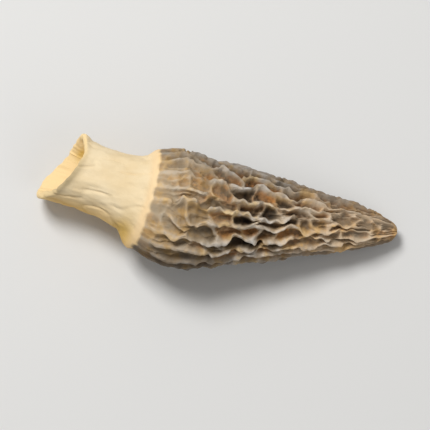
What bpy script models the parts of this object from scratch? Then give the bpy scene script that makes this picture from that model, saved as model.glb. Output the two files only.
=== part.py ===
"""A dried black morel mushroom lying on its side: a hollow, ribbed cap and a hollow, cut stem, grown in one
piece.

+X runs along the mushroom towards the tip of the cap, +Y across it and +Z up. The origin lies under the
middle of its box, on the surface that it rests on. Everything is in metres.

The whole surface is one grid of rings. It starts at the blind end of the hollow, comes out along the inner
wall, turns over the cut lip and runs back along the outside to the tip.
"""

import bpy
import numpy as np

MM = 0.001

# Driving dimensions. Places along the mushroom are measured on X from the middle of the cut mouth.
STEM_LENGTH = 13.5 * MM  # mouth to the lower edge of the cap
CAP_LENGTH = 38.0 * MM  # lower edge of the cap to its tip
STEM_WAIST = 4.95 * MM  # half the stem's width where it is narrowest
CAP_BASE = 11.0 * MM  # half the cap's width, if its straight taper ran on down to the lower edge
CAP_TAPER = 8.6 * MM  # what that taper takes off the half width by the tip
RIB_COUNT = 22
RIB_DEPTH = 1.25 * MM  # crest of a rib to the floor of the pits beside it
CAP_WALL = 1.1 * MM  # flesh between the floor of a pit and the hollow
STEM_WALL = 0.95 * MM

# The stem spreads a little at the cut and more where it meets the cap.
MOUTH_FLARE = 0.8 * MM
MOUTH_REACH = 2.2 * MM
COLLAR_FLARE = 2.5 * MM
COLLAR_REACH = 2.0 * MM

# The cap swells from its lower edge over a rounded shoulder, and ends in a blunt tip.
SHOULDER_DIP = 0.32
SHOULDER_REACH = 0.10  # as a share of the cap's length
SHOULDER_POWER = 1.2
TIP_POWER = 20

# Drying has flattened it: height over width.
STEM_FLATNESS = 0.93
CAP_FLATNESS = 0.86

# The middle line: the stem slants to -Y and rises, the cap comes back and falls to its tip.
STEM_SLANT = 0.228
CAP_SLANT = 0.122
STEM_RISE = 0.12
CAP_FALL = 0.192
MOUTH_HEIGHT = 5.2 * MM
BEND_AT = 18.0 * MM
SUMMIT_AT = 19.5 * MM
BEND_SOFTNESS = 2.0 * MM

# The cut is oblique: the lower lip and the lip at -Y stand further out, and the upper lip is torn back. The
# cap's lower edge leans back.
MOUTH_SKEW_ACROSS = 1.5 * MM
MOUTH_SKEW_UP = 1.3 * MM
UPPER_LIP_SETBACK = 2.8 * MM
UPPER_LIP_TURN = 0.3  # how far the torn place lies past the top, in radians towards -Y
COLLAR_SKEW_ACROSS = 1.0 * MM
COLLAR_SKEW_UP = 2.2 * MM
COLLAR_SKEW_REACH = 8.0 * MM
LIP_ROUNDING = 0.35 * MM

# A small tongue of the stem's flesh hangs out below the cap's edge at -Y.
TONGUE_HEIGHT = 1.1 * MM
TONGUE_AT = 12.4 * MM
TONGUE_LENGTH = 1.0 * MM
TONGUE_TURN = 3.35  # around the middle line, in radians from +Y
TONGUE_SPREAD = 0.28

# Pits lie in rows between the ribs, parted by lower cross ribs.
SHORTEST_PIT = 2.4 * MM
LONGEST_PIT = 4.8 * MM
CROSS_RIB_WIDTH = 1.0 * MM
CROSS_RIB_SHARE = 0.6  # height of a cross rib over that of a rib
RIB_FLANK = 0.3  # how far a rib's side runs into the pit, as a share of the ribs' spacing
RIBS_START = 0.0  # where the ribs rise and sink again, as shares of the cap's length
RIBS_FULL = 0.14
RIBS_FADE = 0.72
TIP_SHARE = 0.25  # what is left of their depth at the tip
PIT_SEED = 7

# The hollow, closed short of the tip.
HOLLOW_LENGTH = 44.0 * MM
HOLLOW_POWER = 12

# How fine the grid is.
POINTS_PER_RIB = 3
STEM_RINGS = 9
CAP_RINGS = 42
HOLLOW_RINGS = 14

CAP_COLOUR = (0.185, 0.135, 0.095, 1.0)
STEM_COLOUR = (0.80, 0.66, 0.42, 1.0)


def soft_ramp(x, softness):
    """Zero for x well below 0, x for x well above it, with a rounded corner between."""
    return softness * np.logaddexp(0.0, x / softness)


def soft_ramp_slope(x, softness):
    """The slope of soft_ramp: 0 below, 1 above."""
    return 1.0 / (1.0 + np.exp(-x / softness))


def smooth_step(x, low, high):
    """Rises from 0 at low to 1 at high, level at both ends."""
    t = np.clip((x - low) / (high - low), 0.0, 1.0)
    return t * t * (3.0 - 2.0 * t)


def cap_share(along):
    """How far up the cap a place is: 0 at its lower edge, 1 at its tip."""
    return np.clip((along - STEM_LENGTH) / CAP_LENGTH, 0.0, 1.0)


def middle_line(along):
    """The middle of the mushroom: two straight runs, the stem's and the cap's, joined by a soft bend."""
    turned = (STEM_SLANT + CAP_SLANT) * soft_ramp(along - BEND_AT, BEND_SOFTNESS)
    dropped = (STEM_RISE + CAP_FALL) * soft_ramp(along - SUMMIT_AT, BEND_SOFTNESS)
    across = turned - STEM_SLANT * along
    height = MOUTH_HEIGHT + STEM_RISE * along - dropped
    return np.stack([along, across, height], axis=-1)


def section_axes(along):
    """Unit vectors sideways and upwards in the plane square to the middle line."""
    turned = (STEM_SLANT + CAP_SLANT) * soft_ramp_slope(along - BEND_AT, BEND_SOFTNESS)
    dropped = (STEM_RISE + CAP_FALL) * soft_ramp_slope(along - SUMMIT_AT, BEND_SOFTNESS)
    tangent = np.stack([np.ones_like(along), turned - STEM_SLANT, STEM_RISE - dropped], axis=-1)
    side = np.cross([0.0, 0.0, 1.0], tangent)
    side /= np.linalg.norm(side, axis=-1, keepdims=True)
    up = np.cross(tangent, side)
    up /= np.linalg.norm(up, axis=-1, keepdims=True)
    return side, up


def half_width(along):
    """Half the width over the crests: a waisted stem, then a shouldered cone with a blunt tip."""
    mouth = MOUTH_FLARE * np.exp(-along / MOUTH_REACH)
    collar = COLLAR_FLARE * np.exp((along - STEM_LENGTH) / COLLAR_REACH)
    share = cap_share(along)
    shoulder = 1.0 - SHOULDER_DIP * np.exp(-((share / SHOULDER_REACH) ** SHOULDER_POWER))
    cone = (CAP_BASE - CAP_TAPER * share) * shoulder * np.sqrt(1.0 - share**TIP_POWER)
    return np.where(along < STEM_LENGTH, STEM_WAIST + mouth + collar, cone)


def flatness(along):
    """Height over width, which changes from the stem's to the cap's around the cap's lower edge."""
    blend = smooth_step(along, 0.7 * STEM_LENGTH, 1.3 * STEM_LENGTH)
    return STEM_FLATNESS + (CAP_FLATNESS - STEM_FLATNESS) * blend


def lumps(along, turn):
    """The slow swellings and hollows that drying leaves, as a factor on the radius."""
    oval = 0.022 * np.sin(2.0 * turn + along / (9.0 * MM) + 0.6)
    lobes = 0.018 * np.sin(3.0 * turn - along / (6.0 * MM) + 2.1)
    return 1.0 + oval + lobes


def rib_wander(along, place):
    """How far a rib strays sideways, in rib spacings. place counts the ribs around the cap."""
    once_round = 2.0 * np.pi * place / RIB_COUNT
    slow = 0.26 * np.sin(along / (2.3 * MM) + 3.0 * once_round)
    quick = 0.15 * np.sin(along / (1.1 * MM) + 5.0 * once_round + 1.3)
    spread = 0.20 * np.sin(7.0 * once_round - along / (5.0 * MM) + 0.4)
    return (slow + quick + spread) * smooth_step(cap_share(along), 0.0, 0.15)


def cross_ribs(along, place):
    """1 on the crest of a cross rib and 0 in a pit. Each row between two ribs has its own spacing."""
    random = np.random.default_rng(PIT_SEED)
    most = int(CAP_LENGTH / SHORTEST_PIT) + 2
    row = np.floor(place).astype(int) % RIB_COUNT
    height = np.zeros_like(along)
    for k in range(RIB_COUNT):
        start = STEM_LENGTH - random.uniform(0.0, LONGEST_PIT)
        crests = start + np.cumsum(random.uniform(SHORTEST_PIT, LONGEST_PIT, most))
        gap = np.abs(along[row == k][:, None] - crests).min(axis=1)
        height[row == k] = np.exp(-((2.0 * gap / CROSS_RIB_WIDTH) ** 2))
    return height


def relief(along, place):
    """How far the skin lies below the crests: nothing on the stem and along a rib, most in the pits."""
    share = cap_share(along)
    rising = smooth_step(share, RIBS_START, RIBS_FULL)
    sinking = 1.0 - (1.0 - TIP_SHARE) * smooth_step(share, RIBS_FADE, 1.0)
    in_pit = smooth_step(np.abs(place - np.round(place)), 0.0, RIB_FLANK)
    floor = 1.0 - CROSS_RIB_SHARE * cross_ribs(along, place)
    return RIB_DEPTH * rising * sinking * in_pit * floor


def wall(along):
    """How far the hollow lies below the crests."""
    blend = smooth_step(along, 0.7 * STEM_LENGTH, 1.4 * STEM_LENGTH)
    return STEM_WALL + (RIB_DEPTH + CAP_WALL - STEM_WALL) * blend


def skew(along, turn):
    """How far the oblique cut and the leaning edge of the cap carry a ring's points along."""
    mouth = np.clip(1.0 - along / STEM_LENGTH, 0.0, None) ** 1.5
    collar = np.exp(-(((along - STEM_LENGTH) / COLLAR_SKEW_REACH) ** 2))
    across = MOUTH_SKEW_ACROSS * mouth - COLLAR_SKEW_ACROSS * collar
    upwards = MOUTH_SKEW_UP * mouth + COLLAR_SKEW_UP * collar
    torn_back = UPPER_LIP_SETBACK * (0.5 + 0.5 * np.sin(turn - UPPER_LIP_TURN)) ** 3 * mouth
    return across * np.cos(turn) + upwards * np.sin(turn) + torn_back


def tongue(along, turn):
    """How far the tongue at the cap's edge stands out: a rounded bump."""
    lengthways = ((along - TONGUE_AT) / TONGUE_LENGTH) ** 2
    around = ((turn - TONGUE_TURN) / TONGUE_SPREAD) ** 2
    return TONGUE_HEIGHT * np.exp(-lengthways - around)


def ring_points(along, turn, inward, shrink):
    """Points on rings around the middle line: an uneven ellipse, drawn in by a depth and shrunk by a factor.
    Nothing reaches below the surface that it rests on."""
    side, up = section_axes(along)
    radius = half_width(along) * lumps(along, turn) + tongue(along, turn)
    wide = shrink * (radius - inward) * np.cos(turn)
    high = shrink * (radius * flatness(along) - inward) * np.sin(turn)
    points = middle_line(along + skew(along, turn)) + wide[..., None] * side + high[..., None] * up
    points[..., 2] = np.maximum(points[..., 2], 0.0)
    return points


def hollow_rings(place):
    """The inner wall, from the blind end of the hollow out to the mouth."""
    along = np.linspace(HOLLOW_LENGTH, 0.0, HOLLOW_RINGS + 1)[1:]
    along, place = np.meshgrid(along, place, indexing="ij")
    closing = np.sqrt(1.0 - (along / HOLLOW_LENGTH) ** HOLLOW_POWER)
    return ring_points(along, 2.0 * np.pi * place / RIB_COUNT, wall(along), closing)


def lip_ring(place):
    """The round edge of the cut, halfway through the wall."""
    turn = 2.0 * np.pi * place / RIB_COUNT
    ring = ring_points(np.zeros_like(turn), turn, 0.5 * STEM_WALL, 1.0)
    ring[:, 0] -= LIP_ROUNDING
    return ring[None]


def outer_rings(place):
    """The outside, from the mouth over the stem and the ribbed cap to the last ring before the tip."""
    stem = np.linspace(0.0, STEM_LENGTH, STEM_RINGS, endpoint=False)
    cap = STEM_LENGTH + CAP_LENGTH * np.sin(np.linspace(0.0, 0.5 * np.pi, CAP_RINGS + 1))[:-1]
    along, place = np.meshgrid(np.concatenate([stem, cap]), place, indexing="ij")
    turn = 2.0 * np.pi * (place + rib_wander(along, place)) / RIB_COUNT
    return ring_points(along, turn, relief(along, place), 1.0)


def morel_mesh():
    """The closed grid: rings joined by quads, with a fan of triangles to a pole at each end."""
    place = np.arange(RIB_COUNT * POINTS_PER_RIB) / POINTS_PER_RIB
    rings = np.concatenate([hollow_rings(place), lip_ring(place), outer_rings(place)])
    count, around = rings.shape[:2]
    blind_end = middle_line(np.array(HOLLOW_LENGTH))
    tip = middle_line(np.array(STEM_LENGTH + CAP_LENGTH))
    points = np.concatenate([rings.reshape(-1, 3), [blind_end, tip]])
    points[:, :2] -= 0.5 * (points[:, :2].min(axis=0) + points[:, :2].max(axis=0))

    number = np.arange(count * around).reshape(count, around)
    following = np.roll(number, -1, axis=1)
    quads = np.stack([number[:-1], following[:-1], following[1:], number[1:]], axis=-1)
    start_fan = [(count * around, b, a) for a, b in zip(number[0], following[0])]
    tip_fan = [(count * around + 1, a, b) for a, b in zip(number[-1], following[-1])]
    faces = quads.reshape(-1, 4).tolist() + start_fan + tip_fan

    mesh = bpy.data.meshes.new("morel")
    mesh.from_pydata(points, [], faces)
    return mesh


def material(name, colour, roughness):
    """A matt finish of one colour."""
    made = bpy.data.materials.new(name)
    made.use_nodes = True
    shader = made.node_tree.nodes["Principled BSDF"]
    shader.inputs["Base Color"].default_value = colour
    shader.inputs["Roughness"].default_value = roughness
    shader.inputs["Metallic"].default_value = 0.0
    return made


def paint(mesh):
    """The cap's outside takes its skin, and the stem, the lip and the hollow take the pale flesh."""
    mesh.materials.append(material("cap_skin", CAP_COLOUR, 0.8))
    mesh.materials.append(material("pale_flesh", STEM_COLOUR, 0.7))
    around = RIB_COUNT * POINTS_PER_RIB
    first_cap_quad = (HOLLOW_RINGS + 1 + STEM_RINGS) * around
    last_cap_quad = first_cap_quad + (CAP_RINGS - 1) * around
    for face in mesh.polygons:
        on_cap = first_cap_quad <= face.index < last_cap_quad or face.index >= len(mesh.polygons) - around
        face.material_index = 0 if on_cap else 1


for old in list(bpy.data.objects):
    bpy.data.objects.remove(old)

morel = bpy.data.objects.new("morel", morel_mesh())
bpy.context.scene.collection.objects.link(morel)
paint(morel.data)
morel.data.shade_smooth()
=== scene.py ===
"""The looks of a dried black morel that lies on its side: a ribbed, pitted brown cap on a short, cut, cream
stem, both around one hollow. The whole mushroom is one grown piece, so it is one closed skin here too."""

import math

import bpy
import numpy as np
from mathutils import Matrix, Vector


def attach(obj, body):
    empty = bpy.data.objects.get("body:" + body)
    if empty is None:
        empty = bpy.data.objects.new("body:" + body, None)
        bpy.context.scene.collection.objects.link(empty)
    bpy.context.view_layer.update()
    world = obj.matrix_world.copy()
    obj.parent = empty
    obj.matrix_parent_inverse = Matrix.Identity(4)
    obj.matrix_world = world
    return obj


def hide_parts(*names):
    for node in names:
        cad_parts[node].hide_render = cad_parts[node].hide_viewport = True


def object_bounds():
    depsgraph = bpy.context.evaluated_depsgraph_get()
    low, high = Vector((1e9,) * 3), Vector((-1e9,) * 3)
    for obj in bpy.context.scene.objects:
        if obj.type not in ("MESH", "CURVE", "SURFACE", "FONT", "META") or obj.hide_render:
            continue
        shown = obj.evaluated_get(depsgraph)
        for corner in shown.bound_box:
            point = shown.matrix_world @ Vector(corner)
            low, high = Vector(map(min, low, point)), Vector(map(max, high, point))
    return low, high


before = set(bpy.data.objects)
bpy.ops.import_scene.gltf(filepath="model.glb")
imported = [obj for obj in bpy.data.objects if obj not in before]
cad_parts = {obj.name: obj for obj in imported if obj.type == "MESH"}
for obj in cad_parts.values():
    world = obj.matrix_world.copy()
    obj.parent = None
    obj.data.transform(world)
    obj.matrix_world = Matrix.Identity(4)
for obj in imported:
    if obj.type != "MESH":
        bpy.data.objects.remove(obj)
cad_low, cad_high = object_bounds()

# ---- Growth: the form that the stem and the cap share ----
# One body of thin flesh around a hollow, bent where the cap begins and flattened a little by drying. Every
# place on it has a distance along X from the cut mouth, and a turn around the middle line from +Y upwards.

MM = 0.001
STEM_LENGTH = 13.5 * MM  # cut mouth to the lower edge of the cap
CAP_LENGTH = 38.0 * MM  # lower edge of the cap to its tip
STEM_WAIST = 4.95 * MM  # half the stem's width where it is narrowest
MOUTH_FLARE = 0.8 * MM
MOUTH_REACH = 2.2 * MM
COLLAR_FLARE = 2.5 * MM
COLLAR_REACH = 2.0 * MM
CAP_BASE = 11.0 * MM  # half the cap's width, if its straight taper ran on down to the lower edge
CAP_TAPER = 8.6 * MM  # what that taper takes off the half width by the tip
SHOULDER_DIP = 0.32
SHOULDER_REACH = 0.10  # as a share of the cap's length
SHOULDER_POWER = 1.2
TIP_POWER = 20  # the higher, the blunter the tip
STEM_FLATNESS = 0.93  # height over width
CAP_FLATNESS = 0.86
CHANGE_OF_FLATNESS = (0.7 * STEM_LENGTH, 1.3 * STEM_LENGTH)  # where one gives way to the other
STEM_SLANT = 0.228  # how far the middle line goes sideways for each step along
CAP_SLANT = 0.122
STEM_RISE = 0.12  # and how far up or down
CAP_FALL = 0.192
MOUTH_HEIGHT = 5.2 * MM
BEND_AT = 18.0 * MM
SUMMIT_AT = 19.5 * MM
BEND_SOFTNESS = 2.0 * MM
MOUTH_SKEW_ACROSS = 1.5 * MM  # how far the oblique cut leans along
MOUTH_SKEW_UP = 1.3 * MM
MOUTH_SKEW_POWER = 1.5  # how soon that lean fades away from the mouth
UPPER_LIP_SETBACK = 2.8 * MM  # how far the upper lip is torn back
UPPER_LIP_TURN = 0.3  # how far the torn place lies past the top, in radians
COLLAR_SKEW_ACROSS = 1.0 * MM  # how far the cap's lower edge leans along
COLLAR_SKEW_UP = 2.2 * MM
COLLAR_SKEW_REACH = 8.0 * MM
TONGUE_HEIGHT = 1.1 * MM  # a bump of stem flesh that stands out under the cap's lower edge
TONGUE_AT = 12.4 * MM
TONGUE_LENGTH = 1.0 * MM
TONGUE_TURN = 3.35
TONGUE_SPREAD = 0.28
OVAL = 0.022  # waves twice and three times around, as shares of the radius
LOBES = 0.018
OVAL_REACH = 9.0 * MM  # the way along in which those waves turn by one radian
LOBES_REACH = 6.0 * MM
OVAL_START = 0.6  # the turn at which they start
LOBES_START = 2.1
LATTICE_VALUES = 4096
LATTICE_PRIMES = (73856093, 19349663, 83492791)


def smooth_step(x, low, high):
    """Rises from 0 at low to 1 at high, level at both ends."""
    t = np.clip((x - low) / (high - low), 0.0, 1.0)
    return t * t * (3.0 - 2.0 * t)


def bell(x, middle, spread):
    """1 at the middle and 0 away from it: e to the minus square of the distance, counted in spreads."""
    return np.exp(-(((x - middle) / spread) ** 2))


def soft_noise(points, grain, seed):
    """Random swellings from -1 to 1 of the given grain: random values at the corners of a cubic lattice,
    blended by a smooth step along each edge."""
    values = np.random.default_rng(seed).uniform(-1.0, 1.0, LATTICE_VALUES)
    scaled = points / grain
    cell = np.floor(scaled).astype(np.int64)
    blend = smooth_step(scaled - cell, 0.0, 1.0)
    total = np.zeros(points.shape[:-1])
    for corner in np.ndindex(2, 2, 2):
        at = (cell + corner) * LATTICE_PRIMES
        weight = np.where(np.array(corner) == 1, blend, 1.0 - blend).prod(axis=-1)
        total += weight * values[(at[..., 0] ^ at[..., 1] ^ at[..., 2]) % LATTICE_VALUES]
    return total


def winding_lines(points, grain, seed, width, power):
    """Thin winding ridges, 1 on their line and 0 beside it: the places where soft noise of the given grain
    and seed is near zero, within the width, sharpened by the power."""
    return np.clip(1.0 - np.abs(soft_noise(points, grain, seed)) / width, 0.0, 1.0) ** power


def cap_share(along):
    """How far up the cap a place is: 0 at its lower edge, 1 at its tip."""
    return np.clip((along - STEM_LENGTH) / CAP_LENGTH, 0.0, 1.0)


def middle_line(along):
    """Two straight runs joined by a soft bend: a slope times the distance, plus the change of slope times a
    ramp whose corner is rounded."""
    turned = BEND_SOFTNESS * np.logaddexp(0.0, (along - BEND_AT) / BEND_SOFTNESS)
    dropped = BEND_SOFTNESS * np.logaddexp(0.0, (along - SUMMIT_AT) / BEND_SOFTNESS)
    across = (STEM_SLANT + CAP_SLANT) * turned - STEM_SLANT * along
    height = MOUTH_HEIGHT + STEM_RISE * along - (STEM_RISE + CAP_FALL) * dropped
    return np.stack([along, across, height], axis=-1)


def section_axes(along):
    """Unit vectors along, sideways and upwards at a place: the slope of the middle line, the level vector
    square to it, and the vector square to both."""
    turned = 1.0 / (1.0 + np.exp((BEND_AT - along) / BEND_SOFTNESS))
    dropped = 1.0 / (1.0 + np.exp((SUMMIT_AT - along) / BEND_SOFTNESS))
    slope_across = (STEM_SLANT + CAP_SLANT) * turned - STEM_SLANT
    slope_up = STEM_RISE - (STEM_RISE + CAP_FALL) * dropped
    tangent = np.stack([np.ones_like(along), slope_across, slope_up], axis=-1)
    tangent /= np.linalg.norm(tangent, axis=-1, keepdims=True)
    side = np.cross([0.0, 0.0, 1.0], tangent)
    side /= np.linalg.norm(side, axis=-1, keepdims=True)
    return tangent, side, np.cross(tangent, side)


def half_width(along):
    """Half the width over the crests: a waist with an exponential flare at each end for the stem, then a
    straight taper times a rounded shoulder times a blunt tip for the cap."""
    mouth = MOUTH_FLARE * np.exp(-along / MOUTH_REACH)
    collar = COLLAR_FLARE * np.exp((along - STEM_LENGTH) / COLLAR_REACH)
    share = cap_share(along)
    shoulder = 1.0 - SHOULDER_DIP * np.exp(-((share / SHOULDER_REACH) ** SHOULDER_POWER))
    cone = (CAP_BASE - CAP_TAPER * share) * shoulder * np.sqrt(1.0 - share**TIP_POWER)
    return np.where(along < STEM_LENGTH, STEM_WAIST + mouth + collar, cone)


def skew(along, turn):
    """How far along the oblique cut, the torn upper lip and the leaning lower edge of the cap carry a point:
    a cosine of the turn for a lean sideways, a sine for a lean upwards, each fading along the line."""
    mouth = np.clip(1.0 - along / STEM_LENGTH, 0.0, None) ** MOUTH_SKEW_POWER
    collar = bell(along, STEM_LENGTH, COLLAR_SKEW_REACH)
    across = MOUTH_SKEW_ACROSS * mouth - COLLAR_SKEW_ACROSS * collar
    upwards = MOUTH_SKEW_UP * mouth + COLLAR_SKEW_UP * collar
    torn_back = UPPER_LIP_SETBACK * (0.5 + 0.5 * np.sin(turn - UPPER_LIP_TURN)) ** 3 * mouth
    return across * np.cos(turn) + upwards * np.sin(turn) + torn_back


def skin_points(along, turn, depth, shift_along=0.0, shift_round=0.0):
    """A point at this depth under the crests: an uneven ellipse square to the middle line, whose radius has
    slow waves and one tongue around it, then the shifts along the line and round the ring."""
    tangent, side, up = section_axes(along)
    blend = smooth_step(along, *CHANGE_OF_FLATNESS)
    flatness = STEM_FLATNESS + (CAP_FLATNESS - STEM_FLATNESS) * blend
    oval = OVAL * np.sin(2.0 * turn + along / OVAL_REACH + OVAL_START)
    lobes = LOBES * np.sin(3.0 * turn - along / LOBES_REACH + LOBES_START)
    tongue_round = bell(turn % (2.0 * np.pi), TONGUE_TURN, TONGUE_SPREAD)
    tongue = TONGUE_HEIGHT * bell(along, TONGUE_AT, TONGUE_LENGTH) * tongue_round
    radius = half_width(along) * (1.0 + oval + lobes) + tongue
    wide = (radius - depth) * np.cos(turn) - shift_round * np.sin(turn)
    high = (radius * flatness - depth) * np.sin(turn) + shift_round * np.cos(turn)
    points = middle_line(along + skew(along, turn)) + wide[..., None] * side + high[..., None] * up
    return points + np.asarray(shift_along)[..., None] * tangent


# ---- Cap: ribs, cross ribs and the pits between them ----
# Thin fins of dried flesh grow up the cap. They wander, lean over and fade out in turn towards the tip, and
# on one flank they run straighter. Low cross ribs part the rows between them into long, wrinkled pits.

RIB_COUNT = 22
PIT_DEPTH = 1.75 * MM  # crest of a rib to the floor of a pit
DEEPEST_PIT = 1.10  # pits differ: this times the depth for pit number 0
DEPTH_RANGE = 0.32  # and this much less for pit number 1
SHORTEST_PIT = 1.9 * MM
LONGEST_PIT = 4.8 * MM
LONG_BENDS = 0.36  # how far a rib strays, in rib spacings
SHORT_BENDS = 0.17
CRINKLE = 0.05
LEAST_BENDS = 0.15  # what is left of all three at the lower edge
BENDS_GROW = (0.0, 0.12)  # from where to where, as shares of the cap's length
NOTCHES = 0.10  # what notches and gaps take off a rib, as shares of its height
FINE_NOTCHES = 0.07
GAPS = 0.6
WHOLE_RIB = 0.93  # a rib's height without notches and gaps
EARLY_ENDS = (0.66, 0.90)  # where every second rib fades out, as shares of the cap's length
LATE_ENDS = (0.84, 0.94)  # where every second one of the others does
PAST_THE_TIP = 1.6
FADES_OVER = (-0.12, 0.06)  # from how far below its end to how far above it a rib fades
RIB_LOSS = 0.85  # and what it loses there
CALM_TURN = 3.1  # the flank with the straighter ribs, in radians
CALM_SPREAD = 0.5
CALMER_BENDS = 0.45  # what the calm takes off the bends, the gaps and the cross ribs
CALMER_GAPS = 0.7
CALMER_CROSS_RIBS = 0.6
CROSS_RIB_SLANT = 1.8 * MM  # from one side of a row to the other, as a standard deviation
CROSS_RIB_BOW = 2.2 * MM
CROSS_RIB_HEIGHTS = (0.35, 0.95)  # lowest and highest, as shares of a rib's height
CROSS_RIB_WIDTHS = (0.20, 0.38)  # half the width of the thinnest and the thickest, in millimetres
NARROWEST_ROW = 1.0 * MM
FIN_BREADTH = 1.18  # over 1, so that a fin is at its full height a little to both sides of its crest
FIN_STEEPNESS = 2.6
FOLD_HEIGHT = 0.34
FOLD_HEIGHT_BY_THE_STEM = 0.30
FOLD_WIDTH = 0.16  # as a share of half a row
FOLD_STRAY = 0.45
VEIN_HEIGHT = 0.22
WRINKLE_HEIGHTS = (0.08, 0.10)  # fine and coarse
GATHER_HEIGHT = 0.12
RIB_LEAN = 0.5 * MM  # how far a crest leans over
RIBS_START = 0.6 * MM  # how far above the lower edge the ribs begin, give or take as much again
FIRST_RISE = 0.22  # the share of their height that they gain at once
FIRST_RISE_LENGTH = 1.6 * MM
RIBS_RISE = (0.02, 0.17)  # where they gain the rest, as shares of the cap's length
RIBS_SINK = (0.62, 0.95)  # where they lose some of it again
SINK_LOSS = 0.48
TIP_CLOSES = (0.97, 1.0)  # and where they lose more as the tip closes
TIP_LOSS = 0.6
DENTS = 0.25 * MM  # slow swellings of the cap as a whole
CROWDING = 0.08  # how much closer together the columns stand on a rib than in a pit
POINTS_PER_RIB = 17
CAP_RINGS = 202
NOISE_REACH = 60.0 * MM  # farther along than any place on the cap
rng = np.random.default_rng(11)


def rib_noise(along, place, grain, seed):
    """Random swellings from -1 to 1, of the given grain along the cap and independent from rib to rib: random
    values at the crossings of ribs and even steps, blended by smooth steps both ways."""
    values = np.random.default_rng(seed).uniform(-1.0, 1.0, (int(NOISE_REACH / grain) + 2, RIB_COUNT))
    step = np.floor(along / grain).astype(int)
    rib = np.floor(place).astype(int)
    onward = smooth_step(along / grain - step, 0.0, 1.0)
    sideways = smooth_step(place - rib, 0.0, 1.0)
    this = rib % RIB_COUNT
    after = (rib + 1) % RIB_COUNT
    here = values[step, this] * (1.0 - onward) + values[step + 1, this] * onward
    there = values[step, after] * (1.0 - onward) + values[step + 1, after] * onward
    return here * (1.0 - sideways) + there * sideways


def calm_flank(place):
    """1 on the flank where the ribs run straighter and the pits longer, 0 elsewhere: a bell over the turn."""
    return bell(2.0 * np.pi * place / RIB_COUNT, CALM_TURN, CALM_SPREAD)


def rib_wander(along, place):
    """How far a rib strays round the cap, in rib spacings: long and short bends, less of both on the calm
    flank, and a fine crinkle, all of them growing from the lower edge upwards."""
    long_bends = LONG_BENDS * rib_noise(along, place, 2.7 * MM, 12)
    short_bends = SHORT_BENDS * rib_noise(along, place, 1.3 * MM, 13)
    bends = (long_bends + short_bends) * (1.0 - CALMER_BENDS * calm_flank(place))
    crinkle = CRINKLE * rib_noise(along, place, 0.6 * MM, 14)
    growing = LEAST_BENDS + (1.0 - LEAST_BENDS) * smooth_step(cap_share(along), *BENDS_GROW)
    return (bends + crinkle) * growing


def rib_heights(along, place):
    """Height of the nearest rib, 0 to 1: every second rib and then every second one left sinks away towards
    the tip, each at its own place, and all of them have notches and gaps along their edge."""
    nearest = np.round(place)
    order = np.arange(RIB_COUNT)
    later = np.where(order % 4 == 2, rng.uniform(*LATE_ENDS, RIB_COUNT), PAST_THE_TIP)
    ends = np.where(order % 2 == 1, rng.uniform(*EARLY_ENDS, RIB_COUNT), later)
    ends = ends[nearest.astype(int) % RIB_COUNT]
    lasting = 1.0 - RIB_LOSS * smooth_step(cap_share(along), ends + FADES_OVER[0], ends + FADES_OVER[1])
    notches = NOTCHES * rib_noise(along, nearest, 1.6 * MM, 15)
    notches = notches + FINE_NOTCHES * rib_noise(along, nearest, 0.6 * MM, 16)
    gaps = GAPS * smooth_step(rib_noise(along, nearest, 1.9 * MM, 19), 0.25, 0.75)
    gaps = gaps * (1.0 - CALMER_GAPS * calm_flank(nearest))
    return lasting * (WHOLE_RIB + notches - gaps)


def cross_ribs(along, place):
    """Height of the cross ribs, 0 to 1, and a number from 0 to 1 for each pit. In each row the cross ribs
    have their own spacing, slant, bow, height and width. Each is a bell over the distance square to its line,
    so a slanting one is no wider than a straight one, and the highest at a place counts."""
    row = np.floor(place).astype(int) % RIB_COUNT
    through = place - np.floor(place) - 0.5
    ridge = np.zeros_like(along)
    pit = np.zeros_like(along)
    most = int(CAP_LENGTH / SHORTEST_PIT) + 2
    for k in range(RIB_COUNT):
        here = row == k
        gaps = rng.uniform(SHORTEST_PIT, LONGEST_PIT, most)
        crests = STEM_LENGTH - rng.uniform(0.0, LONGEST_PIT) + np.cumsum(gaps)
        slant = rng.normal(0.0, CROSS_RIB_SLANT, most)
        bow = rng.normal(0.0, CROSS_RIB_BOW, most)
        tall = rng.uniform(*CROSS_RIB_HEIGHTS, most)
        broad = rng.uniform(*CROSS_RIB_WIDTHS, most) * MM
        numbers = rng.uniform(0.0, 1.0, most)
        tall = tall * (1.0 - CALMER_CROSS_RIBS * calm_flank(k + 0.5))
        across = through[here][:, None]
        row_width = np.maximum(2.0 * np.pi * half_width(along[here]) / RIB_COUNT, NARROWEST_ROW)
        steepness = (slant + 2.0 * bow * across) / row_width[:, None]
        line = crests + slant * across + bow * across**2
        distance = (along[here][:, None] - line) / np.hypot(1.0, steepness)
        ridge[here] = (tall * bell(distance, 0.0, broad)).max(axis=1)
        pit[here] = numbers[np.clip((distance > 0).sum(axis=1), 0, most - 1)]
    return ridge, pit


# rings at even steps along the outline, and columns that crowd towards the ribs
outline = np.linspace(STEM_LENGTH, STEM_LENGTH + CAP_LENGTH, 4000)
walked = np.concatenate([[0.0], np.cumsum(np.hypot(np.diff(outline), np.diff(half_width(outline))))])
cap_along = np.interp(np.linspace(0.0, walked[-1], CAP_RINGS + 1)[:-1], walked, outline)
steps = np.arange(POINTS_PER_RIB) / POINTS_PER_RIB
steps = steps - CROWDING * np.sin(2.0 * np.pi * steps)
columns = (np.arange(RIB_COUNT)[:, None] + steps).ravel()
along, place = np.meshgrid(cap_along, columns, indexing="ij")
share = cap_share(along)
turn = 2.0 * np.pi * (place + rib_wander(along, place)) / RIB_COUNT
base = skin_points(along, turn, np.zeros_like(along))

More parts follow.
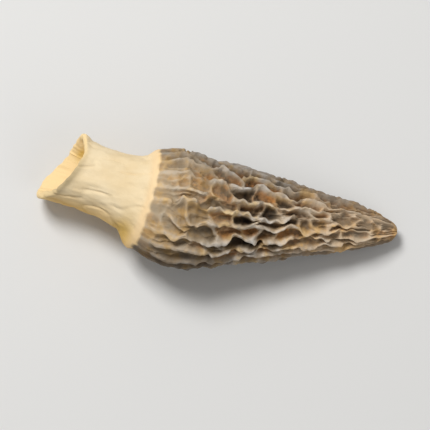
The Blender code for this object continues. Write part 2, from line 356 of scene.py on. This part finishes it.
# fins rise towards both sides of a row, and a mean over neighbours takes the steps off slanting cross ribs
through = 2.0 * (place - np.floor(place)) - 1.0
fin = np.clip(FIN_BREADTH * np.abs(through), 0.0, 1.0) ** FIN_STEEPNESS
cross, pit_number = cross_ribs(along, place)
cross = 0.5 * cross + 0.25 * (np.roll(cross, 1, axis=1) + np.roll(cross, -1, axis=1))
cross[1:-1] = 0.5 * cross[1:-1] + 0.25 * (cross[2:] + cross[:-2])

# low folds run along some pits and all those by the stem, and veins wind over everything
fold_line = FOLD_STRAY * rib_noise(along, np.floor(place), 2.0 * MM, 17)
by_the_stem = 1.0 - smooth_step(share, 0.08, 0.30)
folded = FOLD_HEIGHT * smooth_step(soft_noise(base, 2.4 * MM, 21), -0.1, 0.5)
fold = (folded + FOLD_HEIGHT_BY_THE_STEM * by_the_stem) * bell(through, fold_line, FOLD_WIDTH)
veins = VEIN_HEIGHT * winding_lines(base, 1.1 * MM, 27, 0.22, 2)
height = 1.0 - (1.0 - fin * rib_heights(along, place)) * (1.0 - cross) * (1.0 - fold) * (1.0 - veins)

# fine wrinkles everywhere, and gathers across the sides of the fins
wrinkle = WRINKLE_HEIGHTS[0] * soft_noise(base, 0.42 * MM, 22)
wrinkle = wrinkle + WRINKLE_HEIGHTS[1] * soft_noise(base, 0.9 * MM, 23)
gathers = GATHER_HEIGHT * rib_noise(along, np.round(place), 0.48 * MM, 28) * 4.0 * fin * (1.0 - fin)
height = np.clip(height + wrinkle + gathers, 0.0, 1.15)

# ribs that rise above the stem and sink at the tip, pits of unlike depth, and crests that lean either way
start = STEM_LENGTH + RIBS_START * (1.0 + rib_noise(along, place, 3.0 * MM, 18))
rising = FIRST_RISE * smooth_step(along, start, start + FIRST_RISE_LENGTH)
rising = rising + (1.0 - FIRST_RISE) * smooth_step(share, *RIBS_RISE)
sinking = 1.0 - SINK_LOSS * smooth_step(share, *RIBS_SINK)
sinking = sinking * (1.0 - TIP_LOSS * smooth_step(share, *TIP_CLOSES))
deepness = PIT_DEPTH * rising * sinking * (DEEPEST_PIT - DEPTH_RANGE * pit_number)
dents = DENTS * soft_noise(base, 5.0 * MM, 24) * rising
lean = RIB_LEAN * rising * sinking * np.clip(height, 0.0, 1.0) ** 2
cap_points = skin_points(
    along,
    turn,
    deepness * (1.0 - height) + dents,
    shift_along=0.5 * lean * soft_noise(base, 1.2 * MM, 25),
    shift_round=lean * rib_noise(along, np.round(place), 0.9 * MM, 26),
)

# ---- Stem: the waisted tube, its cut lip and the hollow ----
# Smooth, thin, pale flesh with shallow wrinkles and creases along it. A knife cut it off obliquely, and the
# cut edge dried a little ragged and turned over. The hollow has the same flesh, and runs on into the cap.

STEM_WALL = 0.95 * MM
CAP_WALL = 0.95 * MM + PIT_DEPTH  # crest of a rib to the hollow
WALL_THICKENS = (0.7 * STEM_LENGTH, 1.4 * STEM_LENGTH)
HOLLOW_LENGTH = 44.0 * MM
HOLLOW_POWER = 12  # the higher, the blunter its blind end
STEM_RINGS = 34
LIP_RINGS = 5
HOLLOW_RINGS = 26
RAGGED = (0.34 * MM, 0.16 * MM)  # the cut edge's coarse and fine unevenness
STEM_STRETCH = (0.32, 1.0, 1.0)  # squeezes the pattern's space, so wrinkles are three times as long as wide
HOLLOW_STRETCH = (0.45, 1.0, 1.0)
WRINKLE_DEPTHS = (0.20, 0.07)  # coarse and fine, in millimetres like the four below
CREASE_DEPTH = 0.24
DENT_DEPTHS = (0.26, 0.05)
PUCKER_DEPTHS = (0.17, 0.07)
INNER_CREASE_DEPTH = 0.14
SMOOTH_COLLAR = 1.4 * MM  # the stem's last stretch before the cap
COLLAR_SWELLING = 0.25  # a low ring beside the cap, in millimetres
SWELLING_AT = 13.0 * MM
SWELLING_LENGTH = 0.5 * MM
LIP_BULGE = 0.45  # how far the lip stands out, as a share of the wall
INNER_STAIN_AT = 1.7 * MM  # a golden stain just inside the mouth
INNER_STAIN_LENGTH = 1.1 * MM
INNER_STAIN_TURN = 5.65
INNER_STAIN_SPREAD = 0.30
even_turn = 2.0 * np.pi * columns / RIB_COUNT

# the outside of the stem; depths in millimetres until the last step
stem_along = np.linspace(0.0, STEM_LENGTH, STEM_RINGS, endpoint=False)
circle = np.stack([np.cos(even_turn), np.sin(even_turn), 0.0 * even_turn], axis=-1)
ragged = RAGGED[0] * soft_noise(circle, 0.45, 31) + RAGGED[1] * soft_noise(circle, 0.14, 36)
stem_grid, stem_turn = np.meshgrid(stem_along, even_turn, indexing="ij")
base = skin_points(stem_grid, stem_turn, np.zeros_like(stem_grid))
stretched = base * STEM_STRETCH
wrinkles = WRINKLE_DEPTHS[0] * soft_noise(stretched, 1.5 * MM, 32)
wrinkles += WRINKLE_DEPTHS[1] * soft_noise(stretched, 0.6 * MM, 33)
wrinkles += CREASE_DEPTH * winding_lines(stretched, 2.3 * MM, 38, 0.14, 1.5)
dents = DENT_DEPTHS[0] * soft_noise(base, 3.4 * MM, 34) + DENT_DEPTHS[1] * soft_noise(base, 0.5 * MM, 37)
swelling = COLLAR_SWELLING * bell(stem_grid, SWELLING_AT, SWELLING_LENGTH)
calm = 1.0 - smooth_step(stem_grid, STEM_LENGTH - SMOOTH_COLLAR, STEM_LENGTH)
stem_depth = MM * ((wrinkles + dents) * calm - swelling)
fading = (1.0 - stem_grid / STEM_LENGTH) ** 3
stem_points = skin_points(stem_grid, stem_turn, stem_depth, shift_along=ragged * fading)

# the lip: half a circle over the wall's thickness
round_lip = np.pi * np.arange(1, LIP_RINGS + 1) / (LIP_RINGS + 1)
fold_in, turn = np.meshgrid(round_lip, even_turn, indexing="ij")
lip_depth = stem_depth[0] + 0.5 * STEM_WALL * (1.0 - np.cos(fold_in))
bulge = ragged - LIP_BULGE * STEM_WALL * np.sin(fold_in)
lip_points = skin_points(np.zeros_like(turn), turn, lip_depth, shift_along=bulge)

# the hollow: it follows the lip at first, then has puckers of its own
hollow_along = HOLLOW_LENGTH * np.linspace(0.0, 1.0, HOLLOW_RINGS + 1)[:-1] ** 1.6
along, turn = np.meshgrid(hollow_along, even_turn, indexing="ij")
inner_fading = np.clip(1.0 - along / STEM_LENGTH, 0.0, 1.0) ** 3
wall = STEM_WALL + (CAP_WALL - STEM_WALL) * smooth_step(along, *WALL_THICKENS)
closing = 1.0 - np.sqrt(1.0 - (along / HOLLOW_LENGTH) ** HOLLOW_POWER)
wall = wall + closing * (half_width(along) * CAP_FLATNESS - wall) + stem_depth[0] * inner_fading**3
stretched = skin_points(along, turn, wall) * HOLLOW_STRETCH
puckers = PUCKER_DEPTHS[0] * soft_noise(stretched, 1.5 * MM, 35)
puckers += PUCKER_DEPTHS[1] * soft_noise(stretched, 0.7 * MM, 39)
puckers += INNER_CREASE_DEPTH * winding_lines(stretched, 1.9 * MM, 40, 0.16, 1.5)
wall = wall + MM * puckers * (1.0 - inner_fading**2)
hollow_points = skin_points(along, turn, wall, shift_along=ragged * inner_fading)
inner_stain = bell(along, INNER_STAIN_AT, INNER_STAIN_LENGTH)
inner_stain = inner_stain * bell(turn, INNER_STAIN_TURN, INNER_STAIN_SPREAD)

# ---- Skin: one closed mesh over the cap, the stem, the lip and the hollow ----
# The rings run from the tip down the outside, over the lip and up the hollow, and a fan of triangles closes
# each end. The finished skin fills the solid's own box, and keeps numbers that its colours follow.

STAIN_AND_SHADE_STRENGTH = 0.85  # the golden stain on the collar, low on one side, partly painted shade where the stem curves in under the cap's edge
STAIN_AND_SHADE_AT = 11.2 * MM
STAIN_AND_SHADE_LENGTH = 1.4 * MM
STAIN_AND_SHADE_TURN = 3.0
STAIN_AND_SHADE_SPREAD = 0.5
BAND_AT = 13.1 * MM  # the warm band under the cap's lower edge
BAND_LENGTH = 0.8 * MM
BROWN_LINE_LENGTH = 0.8 * MM  # the brown line along the torn upper lip
BROWN_LINE_TURN = 2.05
BROWN_LINE_SPREAD = 0.75
RIM_STRENGTH = 0.6  # how far the outside takes the inside's colour at the cut
RIM_REACH = 0.5 * MM
BRIGHT_TURN = 1.95  # the cap's palest line; painted shade darkens its skin down both flanks
BRIGHT_SIDE = (0.15, 0.85)  # cosines of the turn away from it, where the flank ends and where it starts
# painted shade: how far the cap's skin darkens down its flanks
FLANK_SHADE_STRENGTH = 0.66
DARKER_TOWARDS_TIP = 0.25
DARKER_FROM = (0.40, 0.60)  # as shares of the cap's length
DARK_CORNER = 0.85  # painted shade at its darkest, on the flank low beside the stem
DARK_CORNER_TURN = 3.15
DARK_CORNER_SPREAD = 0.70
DARK_CORNER_ENDS = (0.20, 0.40)
WARM_FROM = (2.3, 3.4)  # the turns between which the stem's lower flank has painted shade, warmer and darker
WARM_TO = (5.0, 5.9)
RUSTIER_ROW = 1.30  # the turns of two rows of pits: a lighter, rustier row, and one with more painted shade
DARKER_ROW = 1.92
ROW_SPREAD = 0.25
RUSTIER_BY = 0.16  # what their pits' numbers gain and lose
DARKER_BY = 0.22
MIDDLE_STARTS = (0.15, 0.30)  # the stretch of the cap that those rows stand out in
MIDDLE_ENDS = (0.55, 0.70)
LIP_SHADE_SHARE = 0.3  # how much of the stem's painted flank shade goes on over the lip
EDGE_IN_PITS = 0.05 * MM  # how far up the cap its skin starts
EDGE_ON_FINS = 0.2 * MM  # and how much farther up on a fin
EDGE_UNEVEN = 0.22 * MM
EDGE_SOFTNESS = 0.2 * MM

rings = np.concatenate([cap_points[::-1], stem_points[::-1], lip_points, hollow_points])
count, around = rings.shape[:2]
tip = rings[0].mean(axis=0)
blind_end = rings[-1].mean(axis=0)
points = np.concatenate([rings.reshape(-1, 3), [tip, blind_end]])
low = points.min(axis=0)
high = points.max(axis=0)
points = np.array(cad_low) + (points - low) * (np.array(cad_high) - np.array(cad_low)) / (high - low)

number = np.arange(count * around).reshape(count, around)
following = np.roll(number, -1, axis=1)
quads = np.stack([number[:-1], number[1:], following[1:], following[:-1]], axis=-1).reshape(-1, 4)
tip_fan = np.stack([np.full(around, count * around), number[0], following[0]], axis=-1)
blind_fan = np.stack([np.full(around, count * around + 1), following[-1], number[-1]], axis=-1)
mesh = bpy.data.meshes.new("morel_skin")
mesh.from_pydata(points, [], quads.tolist() + tip_fan.tolist() + blind_fan.tolist())
mesh.shade_smooth()

# the skin unrolled, as a map for baked textures to lie on: once round it is the sheet's width, and the way
# from the tip to the blind end its height
column = np.append(np.arange(around), around) / around
steps_down = np.linalg.norm(np.diff(rings, axis=0), axis=-1).mean(axis=1)
down = np.concatenate([[0.0, 0.01], 0.01 + 0.98 * np.cumsum(steps_down) / steps_down.sum(), [1.0]])
left, upper = np.meshgrid(column[:-1], down[1:-2])
right, lower = np.meshgrid(column[1:], down[2:-1])
quad_uv = np.stack([left, upper, left, lower, right, lower, right, upper], axis=-1).reshape(-1, 2)
left = column[:-1]
right = column[1:]
middle = 0.5 * (left + right)
top_row = np.full(around, down[1])
last_row = np.full(around, down[-2])
tip_uv = np.stack([middle, np.zeros(around), left, top_row, right, top_row], axis=-1).reshape(-1, 2)
blind_uv = np.stack([middle, np.ones(around), right, last_row, left, last_row], axis=-1).reshape(-1, 2)
sheet = np.concatenate([quad_uv, tip_uv, blind_uv])
mesh.uv_layers.new(name="OFBake").data.foreach_set("uv", sheet.astype(np.float32).ravel())
skin = bpy.data.objects.new("morel_skin", mesh)
bpy.context.scene.collection.objects.link(skin)


def ring_values(cap, stem, lip, hollow):
    """One number for each point of the skin, from the four stretches of rings and the two poles."""
    parts = [cap[::-1], np.broadcast_to(stem, stem_points.shape[:2])[::-1]]
    parts += [np.broadcast_to(lip, lip_points.shape[:2]), np.broadcast_to(hollow, hollow_points.shape[:2])]
    grid = np.concatenate(parts)
    return np.concatenate([grid.ravel(), [grid[0].mean(), grid[-1].mean()]])


def keep_values(name, values):
    """Stores one number a point on the skin, for its material to read."""
    mesh.attributes.new(name, "FLOAT", "POINT").data.foreach_set("value", values.astype(np.float32))


# the stem's stain, partly painted shade, its band, brown lip line and rim
stain_and_shade = STAIN_AND_SHADE_STRENGTH * bell(stem_grid, STAIN_AND_SHADE_AT, STAIN_AND_SHADE_LENGTH) * bell(stem_turn, STAIN_AND_SHADE_TURN, STAIN_AND_SHADE_SPREAD)
band = bell(stem_grid, BAND_AT, BAND_LENGTH)
brown_lip_line = bell(stem_grid, 0.0, BROWN_LINE_LENGTH) * bell(stem_turn, BROWN_LINE_TURN, BROWN_LINE_SPREAD)
rim = RIM_STRENGTH * np.exp(-stem_grid / RIM_REACH)

# painted shade down the flanks: the cap's skin is darker there, and the stem's flesh warmer and darker
flank_shade = FLANK_SHADE_STRENGTH * (1.0 - smooth_step(np.cos(even_turn - BRIGHT_TURN), *BRIGHT_SIDE))
flank_shade = flank_shade * (1.0 + DARKER_TOWARDS_TIP * smooth_step(share, *DARKER_FROM))
corner = DARK_CORNER * bell(even_turn, DARK_CORNER_TURN, DARK_CORNER_SPREAD)
cap_flank_shade = np.clip(flank_shade + corner * (1.0 - smooth_step(share, *DARK_CORNER_ENDS)), 0.0, 1.0)
stem_flank_shade = smooth_step(even_turn, *WARM_FROM) * (1.0 - smooth_step(even_turn, *WARM_TO))

# where the cap's skin starts: a little higher on the fins than in the pits, and uneven
edge = STEM_LENGTH + EDGE_IN_PITS + EDGE_ON_FINS * fin + EDGE_UNEVEN * soft_noise(cap_points, 1.3 * MM, 41)
cap_grid = np.broadcast_to(cap_along[:, None], fin.shape)
cap_mask = smooth_step(cap_grid, edge - EDGE_SOFTNESS, edge + EDGE_SOFTNESS)

# the pits' numbers choose their colours too: the lowest get painted shade, nearly black, and the highest are
# rusty
middle_pits = smooth_step(share, *MIDDLE_STARTS) * (1.0 - smooth_step(share, *MIDDLE_ENDS))
bias = RUSTIER_BY * bell(even_turn, RUSTIER_ROW, ROW_SPREAD)
bias = bias - DARKER_BY * bell(even_turn, DARKER_ROW, ROW_SPREAD)
pit_look = np.clip(pit_number + bias * middle_pits, 0.0, 1.0)

nothing = np.zeros_like(fin)
keep_values("crest", ring_values(np.clip(height, 0.0, 1.0), 1.0, 1.0, 1.0))
keep_values("pit_number", ring_values(pit_look, 0.5, 0.5, 0.5))
keep_values("cap_skin", ring_values(cap_mask, 0.0, 0.0, 0.0))
keep_values("up_the_cap", ring_values(share, 0.0, 0.0, 0.0))
keep_values("inside", ring_values(nothing, rim, 1.0, 1.0))
keep_values("ochre", ring_values(nothing, stain_and_shade, 0.0, inner_stain))
keep_values("band", ring_values(nothing + 1.0, band, 0.0, 0.0))
keep_values("flank_shade", ring_values(cap_flank_shade, stem_flank_shade, LIP_SHADE_SHARE * stem_flank_shade, 0.0))
keep_values("brown_lip_line", ring_values(nothing, brown_lip_line, brown_lip_line[0], brown_lip_line[0] * inner_fading))

# ---- Finish of the skin ----
# Matt and dry. The cap's crests are pale grey, partly a bloom and partly painted highlight, and its fins are
# brown. Its pits are umber, darkened by painted shade, nearly black where that shade is deepest, or rusty,
# and its two ends are tan. Painted shade darkens the cap's flanks and warms the stem's lower flank. The stem,
# the lip and the hollow are cream.

BARE_CAP = [  # from the floor of a pit to a crest: the near-black floors are partly painted shade, the pale grey crests partly painted highlight
    (0.00, (0.038, 0.024, 0.010, 1.0)),
    (0.22, (0.110, 0.072, 0.036, 1.0)),
    (0.47, (0.400, 0.296, 0.193, 1.0)),
    (0.74, (0.610, 0.505, 0.390, 1.0)),
    (1.00, (0.630, 0.548, 0.455, 1.0)),
]
WORN_CAP = [  # the same with duller crests and less painted highlight, where the bloom is rubbed off
    (0.00, (0.055, 0.028, 0.015, 1.0)),
    (0.28, (0.145, 0.092, 0.047, 1.0)),
    (0.62, (0.370, 0.270, 0.170, 1.0)),
    (1.00, (0.465, 0.375, 0.275, 1.0)),
]
# painted shade for the pits that look deepest
PIT_SHADE_TINT = (0.15, 0.14, 0.12, 1.0)
RUST = (0.45, 0.205, 0.070, 1.0)
TAN_BY_THE_STEM = (0.58, 0.430, 0.262, 1.0)
TAN_TIP = (0.68, 0.495, 0.310, 1.0)
COOLER = (0.93, 1.0, 1.10, 1.0)
WARMER = (1.14, 1.0, 0.70, 1.0)
# the painted shade that darkens the cap's flanks
FLANK_SHADE_TINT = (0.37, 0.37, 0.39, 1.0)
CREAM = (0.83, 0.68, 0.445, 1.0)
DEEP_CREAM = (0.755, 0.59, 0.35, 1.0)
FIBRE = (0.68, 0.52, 0.30, 1.0)
# the painted shade that warms and darkens the stem's lower flank
STEM_SHADE_TINT = (0.98, 0.79, 0.43, 1.0)
WARM_BAND = (0.92, 0.655, 0.355, 1.0)
INNER_CREAM = (0.89, 0.665, 0.345, 1.0)
OCHRE = (0.66, 0.42, 0.088, 1.0)
LIP_LINE_BROWN = (0.385, 0.305, 0.175, 1.0)
BAND_STRENGTH = 0.7
LIP_LINE_STRENGTH = 0.85
MOTTLING = 0.5  # how far the fine mottling shifts the crest's colours
FIBRE_STRETCH = (6.0, 1.0, 1.0)
FIBRE_TURN = -0.22  # about Z, the way the stem slants
GRAIN_DEPTH = 0.25 * MM
GRAIN_STRENGTH = 0.8

material = bpy.data.materials.new("dried_morel")
material.use_nodes = True
nodes = material.node_tree.nodes
links = material.node_tree.links
shader = nodes["Principled BSDF"]


def attribute(name):
    """The socket that gives one of the skin's stored numbers."""
    node = nodes.new("ShaderNodeAttribute")
    node.attribute_name = name
    return node.outputs["Fac"]


def noise(scale, detail, roughness=0.55, stretch=(1.0, 1.0, 1.0), turned=0.0):
    """A cloudy pattern in the mushroom's own space: scale in clouds a metre, then how far it is stretched
    along its axes and turned about Z."""
    mapping = nodes.new("ShaderNodeMapping")
    mapping.vector_type = "TEXTURE"
    mapping.inputs["Rotation"].default_value = (0.0, 0.0, turned)
    mapping.inputs["Scale"].default_value = stretch
    links.new(place_on_piece, mapping.inputs["Vector"])
    node = nodes.new("ShaderNodeTexNoise")
    node.inputs["Scale"].default_value = scale
    node.inputs["Detail"].default_value = detail
    node.inputs["Roughness"].default_value = roughness
    links.new(mapping.outputs["Vector"], node.inputs["Vector"])
    return node.outputs["Fac"]


def ramp(value, stops):
    """Colours that follow a value, from a list of positions and colours."""
    node = nodes.new("ShaderNodeValToRGB")
    node.color_ramp.elements.remove(node.color_ramp.elements[1])
    node.color_ramp.elements[0].position, node.color_ramp.elements[0].color = stops[0]
    for position, colour in stops[1:]:
        node.color_ramp.elements.new(position).color = colour
    links.new(value, node.inputs["Fac"])
    return node.outputs["Color"]


def levels(value, *stops):
    """A level from 0 to 1 that follows a value: a grey ramp through pairs of a position and a level."""
    return ramp(value, [(position, (level, level, level, 1.0)) for position, level in stops])


def plug(value, socket):
    """Links a socket to the other, or sets a plain number or colour on it."""
    if isinstance(value, bpy.types.NodeSocket):
        links.new(value, socket)
    else:
        socket.default_value = value


def mix(amount, first, second, blend="MIX"):
    """first changed to second, or multiplied by it, by an amount; each may be a socket or a colour."""
    node = nodes.new("ShaderNodeMix")
    node.data_type = "RGBA"
    node.blend_type = blend
    plug(amount, node.inputs[0])
    plug(first, node.inputs[6])
    plug(second, node.inputs[7])
    return node.outputs[2]


def combine(operation, first, second):
    """Plain arithmetic on two values; each may be a socket or a number."""
    node = nodes.new("ShaderNodeMath")
    node.operation = operation
    plug(first, node.inputs[0])
    plug(second, node.inputs[1])
    return node.outputs[0]


place_on_piece = nodes.new("ShaderNodeTexCoord").outputs["Object"]
mottled = noise(1100.0, 6.0, 0.6)
cloudy = noise(260.0, 4.0)
patchy = noise(650.0, 3.0)
warmth = noise(430.0, 3.0)
fibres = noise(900.0, 4.0, 0.6, stretch=FIBRE_STRETCH, turned=FIBRE_TURN)

# the cap's skin, from the floor of the pits, dark partly with painted shade, to the crests, pale partly with
# painted highlight
mottling = combine("MULTIPLY", combine("SUBTRACT", mottled, 0.5), MOTTLING)
crest = combine("ADD", attribute("crest"), mottling)
cap_colour = mix(levels(patchy, (0.42, 0.0), (0.60, 1.0)), ramp(crest, BARE_CAP), ramp(crest, WORN_CAP))

# painted shade: some pits are nearly black, as deep pits look in shade, most of them in the middle of the cap
pit_shade = levels(attribute("pit_number"), (0.36, 1.0), (0.52, 0.0))
pit_shade = combine("MULTIPLY", pit_shade, levels(attribute("crest"), (0.30, 1.0), (0.72, 0.0)))
middle = levels(attribute("up_the_cap"), (0.08, 0.2), (0.20, 1.0), (0.52, 1.0), (0.70, 0.15))
pit_shade = combine("MULTIPLY", pit_shade, middle)
cap_colour = mix(pit_shade, cap_colour, PIT_SHADE_TINT, "MULTIPLY")

# others are rusty in patches
rusty = levels(attribute("pit_number"), (0.44, 0.12), (0.62, 1.0))
rusty = combine("MULTIPLY", rusty, levels(patchy, (0.47, 1.0), (0.60, 0.0)))
rusty = combine("MULTIPLY", rusty, levels(attribute("crest"), (0.02, 0.5), (0.25, 0.8), (0.62, 0.0)))
rusty = combine("MULTIPLY", rusty, levels(mottled, (0.35, 0.35), (0.60, 1.0)))
cap_colour = mix(rusty, cap_colour, RUST)

# tan at the lower edge and, on the crests most, at the tip
tan = levels(attribute("up_the_cap"), (0.0, 0.66), (0.14, 0.54), (0.36, 0.0))
cap_colour = mix(tan, cap_colour, TAN_BY_THE_STEM)
tip_tan = levels(attribute("up_the_cap"), (0.44, 0.0), (0.66, 0.62), (0.85, 0.75), (1.0, 0.95))
tip_tan = combine("MULTIPLY", tip_tan, levels(attribute("crest"), (0.15, 0.45), (0.55, 1.0)))
cap_colour = mix(tip_tan, cap_colour, TAN_TIP)

# cooler and warmer clouds over it all, and painted shade down the flanks
cap_colour = mix(levels(warmth, (0.36, 1.0), (0.50, 0.0)), cap_colour, COOLER, "MULTIPLY")
cap_colour = mix(levels(warmth, (0.50, 0.0), (0.64, 1.0)), cap_colour, WARMER, "MULTIPLY")
cap_colour = mix(attribute("flank_shade"), cap_colour, FLANK_SHADE_TINT, "MULTIPLY")

# the stem's cream flesh, its fibres, painted shade on its lower flank, band, inside, stains (the one on the
# collar partly painted shade) and brown lip line
stem_colour = mix(levels(cloudy, (0.35, 0.0), (0.70, 1.0)), CREAM, DEEP_CREAM)
stem_colour = mix(levels(fibres, (0.30, 0.15), (0.50, 0.0)), stem_colour, FIBRE)
stem_colour = mix(attribute("flank_shade"), stem_colour, STEM_SHADE_TINT, "MULTIPLY")
stem_colour = mix(combine("MULTIPLY", attribute("band"), BAND_STRENGTH), stem_colour, WARM_BAND)
stem_colour = mix(attribute("inside"), stem_colour, INNER_CREAM)
stem_colour = mix(attribute("ochre"), stem_colour, OCHRE)
stem_colour = mix(combine("MULTIPLY", attribute("brown_lip_line"), LIP_LINE_STRENGTH), stem_colour, LIP_LINE_BROWN)

links.new(mix(attribute("cap_skin"), stem_colour, cap_colour), shader.inputs["Base Color"])
links.new(levels(attribute("crest"), (0.0, 0.92), (1.0, 0.74)), shader.inputs["Roughness"])
shader.inputs["Specular IOR Level"].default_value = 0.3

# a coarse grain on the cap, a fine mealy and fibrous one on the stem
bump = nodes.new("ShaderNodeBump")
bump.inputs["Strength"].default_value = GRAIN_STRENGTH
bump.inputs["Distance"].default_value = GRAIN_DEPTH
mealy = combine("MULTIPLY", combine("ADD", fibres, noise(3800.0, 4.0, 0.7)), 0.45)
links.new(mix(attribute("cap_skin"), mealy, noise(2200.0, 6.0, 0.68)), bump.inputs["Height"])
links.new(bump.outputs["Normal"], shader.inputs["Normal"])
mesh.materials.append(material)

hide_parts("morel")
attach(skin, "root")

# ---- Studio ----
# A pale floor under the mushroom, a soft light high above it and a little to the left and behind, a weak fill
# from the front right and a bright room. The camera looks steeply down from a little to the right.

FLOOR_SIZE = 1.2
FLOOR_GREY = (0.68, 0.675, 0.66, 1.0)
half = 0.5 * FLOOR_SIZE
corners = [(-half, -half, 0.0), (half, -half, 0.0), (half, half, 0.0), (-half, half, 0.0)]
floor_mesh = bpy.data.meshes.new("floor")
floor_mesh.from_pydata(corners, [], [(0, 1, 2, 3)])
floor = bpy.data.objects.new("floor", floor_mesh)
bpy.context.scene.collection.objects.link(floor)
floor_material = bpy.data.materials.new("pale_floor")
floor_material.use_nodes = True
floor_shader = floor_material.node_tree.nodes["Principled BSDF"]
floor_shader.inputs["Base Color"].default_value = FLOOR_GREY
floor_shader.inputs["Roughness"].default_value = 0.9
floor_mesh.materials.append(floor_material)

centre = 0.5 * (Vector(cad_low) + Vector(cad_high))


def soft_light(name, offset, size, power):
    """A square softbox that faces the mushroom from an offset."""
    lamp = bpy.data.lights.new(name, "AREA")
    lamp.size = size
    lamp.energy = power
    stand = bpy.data.objects.new(name, lamp)
    stand.location = centre + Vector(offset)
    stand.rotation_euler = (-Vector(offset)).to_track_quat("-Z", "Y").to_euler()
    bpy.context.scene.collection.objects.link(stand)


soft_light("key_light", (-0.18, 0.15, 0.41), 0.18, 1.95)
soft_light("fill_light", (0.30, -0.25, 0.30), 0.30, 0.35)
world = bpy.data.worlds.new("bright_room")
world.use_nodes = True
world.node_tree.nodes["Background"].inputs["Color"].default_value = (1.0, 1.0, 1.0, 1.0)
world.node_tree.nodes["Background"].inputs["Strength"].default_value = 0.29
bpy.context.scene.world = world
bpy.context.scene.view_settings.view_transform = "Standard"

AZIMUTH = math.radians(10.4)
ELEVATION = math.radians(76.0)
CAMERA_DISTANCE = 0.45
VIEW_WIDTH = 64.0 * MM
SENSOR_WIDTH = 36.0
level = math.cos(ELEVATION)
back = Vector((math.sin(AZIMUTH) * level, -math.cos(AZIMUTH) * level, math.sin(ELEVATION)))
lens = bpy.data.cameras.new("camera")
lens.sensor_width = SENSOR_WIDTH
lens.lens = SENSOR_WIDTH * CAMERA_DISTANCE / VIEW_WIDTH
camera = bpy.data.objects.new("camera", lens)
camera.location = centre + CAMERA_DISTANCE * back
camera.rotation_euler = (-back).to_track_quat("-Z", "Y").to_euler()
bpy.context.scene.collection.objects.link(camera)
bpy.context.scene.camera = camera

bpy.context.view_layer.update()
